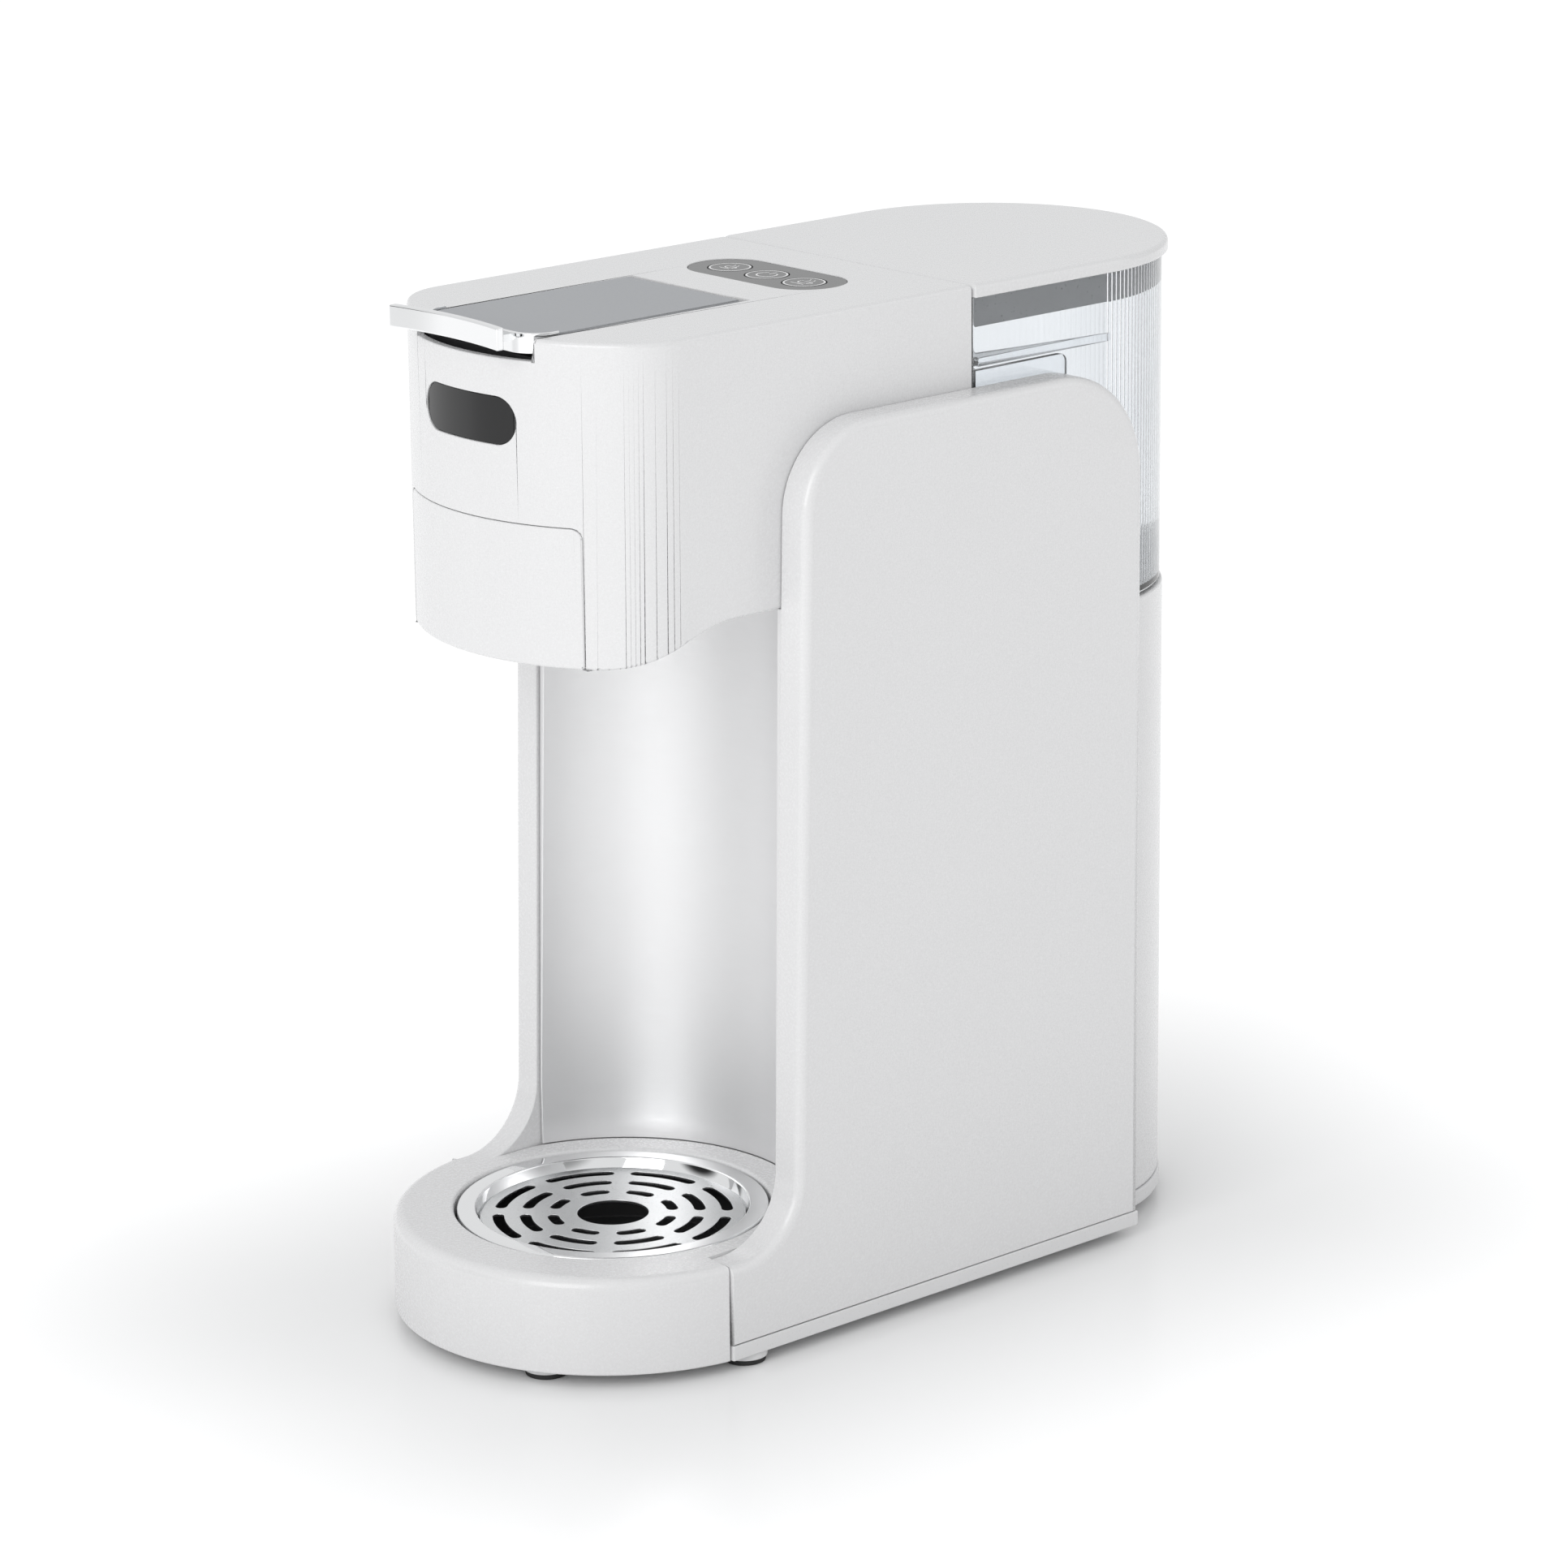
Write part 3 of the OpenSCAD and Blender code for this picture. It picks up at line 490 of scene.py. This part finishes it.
def build_base_front():
    joint = PANEL_JOINT - GAP
    start = math.degrees(math.asin(joint / BASE_R))
    front = arc(0, 0, BASE_R, 180 - start, 360 + start, 144)
    liner_r = LINER_R - GAP
    half = PANEL_X - GAP
    lift = math.sqrt(liner_r ** 2 - half ** 2)
    end = math.degrees(math.asin(lift / liner_r))
    rear = arc(0, LINER_Y, liner_r, end, 180 - end, 96)
    outline = front + [(half, joint)] + rear + [(-half, joint)]
    body = prism("base_front", outline, PLATE_Z, DECK_Z)
    cut(body, prism("well", circle(0, 0, WELL_R, 144), WELL_FLOOR, DECK_Z + 5))
    cut(body, prism("plate_room", circle(0, 0, BASE_R - WALL - 0.2, 144), PLATE_Z - 2, PLATE_TOP + 0.1))

    def rule(x, y, z, d):
        r = math.hypot(x, y)
        if z > DECK_Z - 0.01 and r < WELL_R + 0.3:
            return 1.2
        if z > DECK_Z - 0.01 and r > BASE_R - 0.4 and y < joint - 0.1:
            return 4.0
        if z > DECK_Z - 0.01 and y <= joint + 0.1:
            return 0.7
        if abs(d.z) > 0.9 and r > BASE_R - 0.4:
            return 0.7
        if z < PLATE_Z + 0.01 and r > BASE_R - 0.4:
            return 0.8
        return 0

    round_edges(body, rule, 6)
    return dress(body, "base_front")


def build_side_panel(side):
    outline = panel_outline()
    body = prism("panel", outline, PANEL_X, BASE_R, "x")

    def rule(x, y, z, d):
        on_foot = z < PLATE_TOP + 0.2
        if x > BASE_R - 0.1:
            return 0.5 if on_foot or y < PANEL_JOINT + 0.1 else 3.2
        if x < PANEL_X + 0.1:
            return 0.5
        if abs(d.x) > 0.9 and y < PANEL_JOINT + 0.1 and z > 30:
            return 0.8
        return 0

    round_edges(body, rule, 7)
    if side < 0:
        body.data.transform(Matrix.Scale(-1, 4, (1, 0, 0)))
        body.data.flip_normals()
    return dress(body, "side_panel_right" if side > 0 else "side_panel_left")


# ---------- head ----------

def build_head_shell():
    body = prism("head", head_outline(0, SPLIT_Y), CHIN_Z - 1, HEAD_TOP)
    cut(body, prism("inside", head_outline(WALL, SPLIT_Y, WALL), CHIN_Z - 5, HEAD_TOP - WALL))
    cut(body, prism("below", under_head(), -CLEAR, CLEAR, "x"))
    half = BAND_HALF + 0.6
    recess = [(-half, -CLEAR), (half, -CLEAR), (half, RECESS_BACK), (-half, RECESS_BACK)]
    cut(body, prism("recess", recess, RECESS_FLOOR, HEAD_TOP + 5))
    cut(body, prism("panel_hole", pill(0, PILL_Y, PILL_HALF, PILL_R), HEAD_TOP - 10, HEAD_TOP + 5))
    cut(body, prism("window", pill(0, WINDOW_Z, WINDOW_HALF + 0.15, WINDOW_R + 0.15), -70, 0, "y"))
    side, top, r = COVER_HALF + 0.25, COVER_TOP + 0.25, COVER_ROUND
    cut(body, prism("cover_gap", rounded_box(-side, CHIN_Z - 5, side, top, (0, r, r, 0)), -70, 0, "y"))

    def rule(x, y, z, d):
        nose = y < -30 and math.hypot(x, y - NOSE_Y) > NOSE_R - 0.4
        outer = abs(x) > HEAD_HALF - 0.2 or y > SPLIT_Y - 0.2 or nose
        in_corner = y < CORNER_Y + 0.1 and abs(x) > CORNER_X
        corner = in_corner and math.hypot(abs(x) - CORNER_X, y - CORNER_Y) > CORNER_R - 0.4
        if z > HEAD_TOP - 0.01 and (outer or corner):
            return 1.6
        if z > HEAD_TOP - 0.01:
            return 0.35
        if z < THROAT_Z + 1 and (outer or corner) and abs(d.z) < 0.8:
            return 1.2
        if outer and y < 0:
            return 0.35
        if outer and abs(d.z) > 0.9:
            return 0.6
        return 0

    true_wall_normals(round_edges(body, rule, 5))
    return dress(body, "head_shell")


def build_front_cover():
    body = prism("cover", head_outline(0, 0), CHIN_Z, COVER_TOP)
    cut(body, prism("inside", head_outline(WALL, 20), CHIN_Z - 5, COVER_TOP + 5))
    r = COVER_ROUND
    keep_outline = rounded_box(-COVER_HALF, CHIN_Z - 5, COVER_HALF, COVER_TOP, (0, r, r, 0))
    keep = prism("keep", keep_outline, -70, 0, "y")
    combine(body, "INTERSECT", keep)

    def rule(x, y, z, d):
        outer = math.hypot(x, y - NOSE_Y) > NOSE_R - 0.4
        corner = math.hypot(abs(x) - CORNER_X, y - CORNER_Y) > CORNER_R - 0.4 and abs(x) > CORNER_X
        if outer or corner:
            return 1.2 if z < CHIN_Z + 0.1 else 0.35
        return 0

    true_wall_normals(round_edges(body, rule, 4))
    return dress(body, "front_cover")


def round_front(half, front, r, back):
    """A rectangle in plan with two round corners in front."""
    return (arc(r - half, front + r, r, 180, 270, 16) + arc(half - r, front + r, r, 270, 360, 16)
            + [(half, back), (0, back), (-half, back)])


def build_handle():
    """Chrome band round the flap's front, a web, and the bar, which is bowed inwards."""
    side = FLAP_HALF + 0.1
    outer = round_front(BAND_HALF, BAND_FRONT, FLAP_ROUND + 0.5, BAND_BACK)
    inner = round_front(side, FLAP_FRONT - 0.1, FLAP_ROUND + 0.1, BAND_BACK)
    outer = outer[-1:] + outer[:-2]
    inner = inner[-1:] + inner[:-2]
    band = round_edges(prism("band", outer + inner[::-1], BAND_LOW, BAND_HIGH), 0.15, 3)
    web_y0, web_y1 = BAR_MID + BAR_T - 1, BAND_FRONT + 0.6
    web_plan = [(-WEB_HALF, web_y0), (WEB_HALF, web_y0), (WEB_HALF, web_y1), (-WEB_HALF, web_y1)]
    web = prism("web", web_plan, BAR_LOW + 0.3, BAR_LOW + 2.5)
    centre = BAR_MID - BAR_BOW
    front_a = math.degrees(math.asin(BAR_HALF / BAR_BOW))
    back_a = math.degrees(math.asin(BAR_HALF / (BAR_BOW + BAR_T)))
    outline = (arc(0, centre, BAR_BOW, 90 + front_a, 90 - front_a, 64)
               + arc(0, centre, BAR_BOW + BAR_T, 90 - back_a, 90 + back_a, 64))
    bar = round_edges(prism("bar", outline, BAR_LOW, BAR_HIGH), 0.55, 4)
    return dress(join(bar, band, web), "handle")


def build_window():
    recess, t = 0.5, 1.6
    body = prism("window", head_outline(recess, 0), WINDOW_Z - WINDOW_R - 1, WINDOW_Z + WINDOW_R + 1)
    cut(body, prism("inside", head_outline(recess + t, 20), WINDOW_Z - 20, WINDOW_Z + 20))
    combine(body, "INTERSECT", prism("keep", pill(0, WINDOW_Z, WINDOW_HALF, WINDOW_R), -70, 0, "y"))
    round_edges(body, lambda x, y, z, d: 0.3 if math.hypot(x, y - NOSE_Y) > NOSE_R - recess - 0.3 else 0, 3)
    true_wall_normals(body, recess)
    return dress(body, "display_window")


def build_inlay():
    outline = round_front(FLAP_HALF - 0.4, FLAP_FRONT + 0.4, FLAP_ROUND - 0.4, FLAP_BACK - 0.4)
    body = prism("inlay", outline, INLAY_TOP - 0.8, INLAY_TOP)
    round_edges(body, lambda x, y, z, d: 0.25 if z > INLAY_TOP - 0.01 else 0, 2)
    return dress(body, "flap_inlay")


# ---------- tray ----------

def build_tray_ring():
    step, flange, edge = GRILL_Z - 1.2, DECK_Z - 0.4, 0.8
    profile = [(GRILL_R - 2.6, step), (RING_R, step), (RING_R, flange - edge)]
    profile += arc(RING_R - edge, flange - edge, edge, 0, 90, 5)[1:]
    profile += arc(RING_IN, flange - edge, edge, 90, 165, 6)
    profile += [(GRILL_R + 0.7, step + 1.0), (GRILL_R + 0.3, step + 0.5), (GRILL_R + 0.3, step + 0.2),
                (GRILL_R - 2.6, step + 0.2)]
    body = lathe("ring", profile, steps=192)
    round_edges(body, 0)
    return dress(body, "tray_ring")


# ---------- tank ----------

def build_water_tank():
    """Clear tank, with flutes down the inside of its half-round rear."""
    floor_t, ribs, depth = 2.6, 88, 0.55
    inner_r = TANK_R - TANK_WALL
    front = TANK_FRONT + TANK_WALL
    inner = [(-inner_r, front), (0, front), (inner_r, front)]
    per_rib = 6
    for i in range(ribs * per_rib + 1):
        a = math.pi * i / (ribs * per_rib)
        r = inner_r - depth * abs(math.sin(math.pi * i / per_rib))
        inner.append((r * math.cos(a), REACH + r * math.sin(a)))
    body = prism("tank", round_back(TANK_R, TANK_FRONT, 128), TANK_Z, TANK_TOP)
    cut(body, prism("room", inner, TANK_Z + floor_t, TANK_TOP + 5))

    def rule(x, y, z, d):
        upright = abs(d.z) > 0.9 and abs(x) > TANK_R - 0.1 and y < TANK_FRONT + 0.1
        return 1.4 if upright or z < TANK_Z + 0.1 else 0

    round_edges(body, rule, 4)
    wall = inner_r - 0.2
    ledge = prism("ledge", [(wall, 112), (wall, 172), (inner_r - 8, 112)], 310.5, 313.5)
    pocket_outline = rounded_box(110.5, 285, 152, 309.5, (0, 3, 0, 0))
    pocket = prism("pocket", pocket_outline, inner_r - 2.5, wall, "x")
    round_edges(pocket, 0.4, 3)
    round_edges(ledge, 0.4, 3)
    join(body, ledge, pocket)
    return dress(body, "water_tank")


def build_tank_lid():
    body = prism("lid", round_back(LID_R, SPLIT_Y + 0.5, 128), LID_Z, HEAD_TOP)
    round_edges(body, lambda x, y, z, d: 1.8 if z > HEAD_TOP - 0.01 else 0.5, 5)
    return dress(body, "tank_lid")


def build_lid_skirt():
    inset, t = TANK_WALL + 2.6, 2.0
    half, front = TANK_R - inset, TANK_FRONT + TANK_WALL + 0.4
    body = prism("skirt", round_back(half, front), LID_Z - 11.0, LID_Z - 0.02)
    cut(body, prism("room", round_back(half - t, front + t), LID_Z - 20, LID_Z + 5))
    round_edges(body, 0.3, 3)
    return dress(body, "lid_skirt")


# ---------- icons on the keys ----------

def ring(name, cx, cy, r, width, z):
    inside, outside, low, high = r - width / 2, r + width / 2, z - 0.05, z + 0.03
    body = lathe(name, [(inside, low), (outside, low), (outside, high), (inside, high)], cx, cy, 64)
    round_edges(body, 0)
    return body


def stroke(name, points, width, z, closed=False):
    """A flat line of a given width through points."""
    curve = bpy.data.curves.new(name, "CURVE")
    curve.dimensions = "3D"
    spline = curve.splines.new("POLY")
    spline.points.add(len(points) - 1)
    for p, (x, y) in zip(spline.points, points):
        p.co = (x * MM, (y + TRAY_Y) * MM, z * MM, 1)
    spline.use_cyclic_u = closed
    curve.bevel_depth = width / 2 * MM
    curve.bevel_resolution = 2
    obj = bpy.data.objects.new(name, curve)
    scene.collection.objects.link(obj)
    mesh = bpy.data.meshes.new_from_object(obj.evaluated_get(bpy.context.evaluated_depsgraph_get()))
    bpy.data.objects.remove(obj)
    flat = bpy.data.objects.new(name, mesh)
    scene.collection.objects.link(flat)
    for v in mesh.vertices:
        v.co.z = z * MM + (v.co.z - z * MM) * 0.1
    return flat


def build_icon(node, x, kind):
    z = HEAD_TOP - KEY_SINK + 0.02
    parts = [ring("icon", x, PILL_Y, BUTTON_R - 0.55, 0.55, z)]
    if kind == "power":
        parts.append(stroke("arc", arc(x, PILL_Y, 3.4, 125, 415, 40), 0.6, z))
        parts.append(stroke("bar", [(x, PILL_Y + 0.9), (x, PILL_Y + 4.4)], 0.6, z))
    else:
        k = 0.9 if kind == "small" else 1.1
        rim = [(-2.2, 1.2), (2.0, 1.2)]
        cup = rim + arc(0.0, 0.6, 2.1, -10, -70, 6) + arc(-0.2, 0.6, 2.1, -110, -170, 6)
        ear = [(x + k * u, PILL_Y + k * v) for u, v in arc(2.1, 0.0, 1.0, 80, -95, 10)]
        parts.append(stroke("cup", [(x + k * u, PILL_Y + k * v) for u, v in cup], 0.5, z, True))
        parts.append(stroke("ear", ear, 0.45, z))
        dish = [(x - 3.0 * k, PILL_Y - 2.6 * k), (x + 2.6 * k, PILL_Y - 2.6 * k)]
        parts.append(stroke("dish", dish, 0.5, z))
        for u in (-0.9, 0.9):
            steam = [(x + k * (u + 0.35 * math.sin(i * 1.2)), PILL_Y + k * (2.0 + i * 0.5))
                     for i in range(5)]
            parts.append(stroke("steam", steam, 0.4, z))
    icon = join(*parts)
    for polygon in icon.data.polygons:
        polygon.use_smooth = True
    icon.data.materials.clear()
    icon.data.materials.append(M["icon_white"])
    icon.name = "icon_" + node
    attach(icon, nodes[node]["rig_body"])
    return icon


M["icon_white"] = finish_material("icon_white", (0.85, 0.85, 0.85), 0.01, 0.5, 0.05, bump=0.05)

build_base_front()
build_side_panel(1)
build_side_panel(-1)
build_head_shell()
build_front_cover()
build_handle()
build_window()
build_inlay()
build_tray_ring()
build_water_tank()
build_tank_lid()
build_lid_skirt()
build_icon("button_small_cup", -BUTTON_PITCH, "small")
build_icon("button_power", 0, "power")
build_icon("button_large_cup", BUTTON_PITCH, "large")

done = {n for o in bpy.data.objects for n in o.get("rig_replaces", [])}
SIZES = {"base_plate": 0.6, "body_shell": 0.8, "column_face": 0.25, "grill": 0.2, "drip_tray": 0.4,
         "control_panel": 0.15, "button_small_cup": 0.2, "button_power": 0.2, "button_large_cup": 0.2,
         "valve_spring": 0, "upper_needle": 0.05, "lower_needle": 0.05, "flap": 0.3}
for node_name in sorted(nodes):
    if node_name not in done:
        softened(node_name, SIZES.get(node_name, 0.3))


# ---------- floor and light ----------

def build_floor():
    """A pale floor with painted light: it glows, more with distance from the machine, so it stays darker
    near the machine as painted shade.
    """
    # Half size of the machine's footprint, where the floor's painted glow is zero and painted shade stays.
    painted_shade_half, painted_glow_reach, painted_glow_strength = (0.05, 0.13, 0), 0.22, 0.3
    mesh = bpy.data.meshes.new("floor")
    half = 14.0
    corners = [(-half, -half, 0), (half, -half, 0), (half, half, 0), (-half, half, 0)]
    mesh.from_pydata(corners, [], [(0, 1, 2, 3)])
    floor = bpy.data.objects.new("floor", mesh)
    scene.collection.objects.link(floor)
    material, tree, bsdf = shader("floor_painted_glow")
    noise = mapped_noise(tree, 3.0, detail=2.0)
    tone = tinted(tree, noise.outputs["Fac"], (0.88, 0.88, 0.88), (0.9, 0.9, 0.9))
    tree.links.new(tone, bsdf.inputs["Base Color"])
    bsdf.inputs["Roughness"].default_value = 0.22
    bsdf.inputs["Specular IOR Level"].default_value = 0.4
    # Painted light: emission that is zero over the machine's footprint and rises with distance from it,
    # leaving painted shade around the machine.
    where = tree.nodes.new("ShaderNodeTexCoord")
    step = where.outputs["Object"]
    operations = (("ABSOLUTE", None), ("SUBTRACT", painted_shade_half), ("MAXIMUM", (0, 0, 0)), ("LENGTH", None))
    for operation, value in operations:
        node = tree.nodes.new("ShaderNodeVectorMath")
        node.operation = operation
        tree.links.new(step, node.inputs[0])
        if value is not None:
            node.inputs[1].default_value = value
        step = node.outputs["Value" if operation == "LENGTH" else "Vector"]
    glow = tree.nodes.new("ShaderNodeMapRange")
    glow.interpolation_type = "SMOOTHSTEP"
    glow.inputs["From Max"].default_value = painted_glow_reach
    glow.inputs["To Max"].default_value = painted_glow_strength
    tree.links.new(step, glow.inputs["Value"])
    bsdf.inputs["Emission Color"].default_value = (1, 1, 1, 1)
    tree.links.new(glow.outputs["Result"], bsdf.inputs["Emission Strength"])
    mesh.materials.append(material)


def soft_light(name, azimuth, elevation, distance, width, height, watts):
    """A softbox facing the machine. Azimuth 0 stands in front of it and 90 to its right."""
    a, e = math.radians(azimuth), math.radians(elevation)
    away = Vector((math.sin(a) * math.cos(e), -math.cos(a) * math.cos(e), math.sin(e)))
    data = bpy.data.lights.new(name, "AREA")
    data.shape = "RECTANGLE"
    data.size, data.size_y = width, height
    data.energy = watts
    light = bpy.data.objects.new(name, data)
    scene.collection.objects.link(light)
    light.location = Vector((0, 0, 0.17)) + away * distance
    light.rotation_euler = away.to_track_quat("Z", "Y").to_euler()


build_floor()
soft_light("key", 20, 25, 2.2, 1.2, 1.4, 15)
soft_light("rear_fill", 140, 25, 2.4, 0.8, 1.8, 3)


def studio_world():
    """White surroundings with two dark patches at the horizon, for contrast in the chrome and the gloss."""
    brightness = 0.83
    # Each patch: azimuth, radius of its full darkness, radius where it ends (degrees), and darkness.
    patches = ((-28, 8, 22, 0.97), (95, 12, 34, 0.6))
    world = bpy.data.worlds.new("studio")
    scene.world = world
    world.use_nodes = True
    tree = world.node_tree
    where = tree.nodes.new("ShaderNodeTexCoord")
    level = None
    for azimuth, inner, outer, depth in patches:
        a = math.radians(azimuth)
        dot = tree.nodes.new("ShaderNodeVectorMath")
        dot.operation = "DOT_PRODUCT"
        dot.inputs[1].default_value = (math.sin(a), -math.cos(a), 0.1)
        tree.links.new(where.outputs["Generated"], dot.inputs[0])
        fade = tree.nodes.new("ShaderNodeMapRange")
        fade.interpolation_type = "SMOOTHSTEP"
        fade.inputs["From Min"].default_value = math.cos(math.radians(outer))
        fade.inputs["From Max"].default_value = math.cos(math.radians(inner))
        fade.inputs["To Min"].default_value = 1.0
        fade.inputs["To Max"].default_value = 1.0 - depth
        tree.links.new(dot.outputs["Value"], fade.inputs["Value"])
        if level is None:
            level = fade.outputs["Result"]
        else:
            both = tree.nodes.new("ShaderNodeMath")
            both.operation = "MULTIPLY"
            tree.links.new(level, both.inputs[0])
            tree.links.new(fade.outputs["Result"], both.inputs[1])
            level = both.outputs["Value"]
    strength = tree.nodes.new("ShaderNodeMath")
    strength.operation = "MULTIPLY"
    strength.inputs[1].default_value = brightness
    tree.links.new(level, strength.inputs[0])
    background = tree.nodes["Background"]
    background.inputs["Color"].default_value = (0.99, 0.995, 1.0, 1)
    tree.links.new(strength.outputs["Value"], background.inputs["Strength"])


studio_world()
scene.view_settings.view_transform = "Standard"
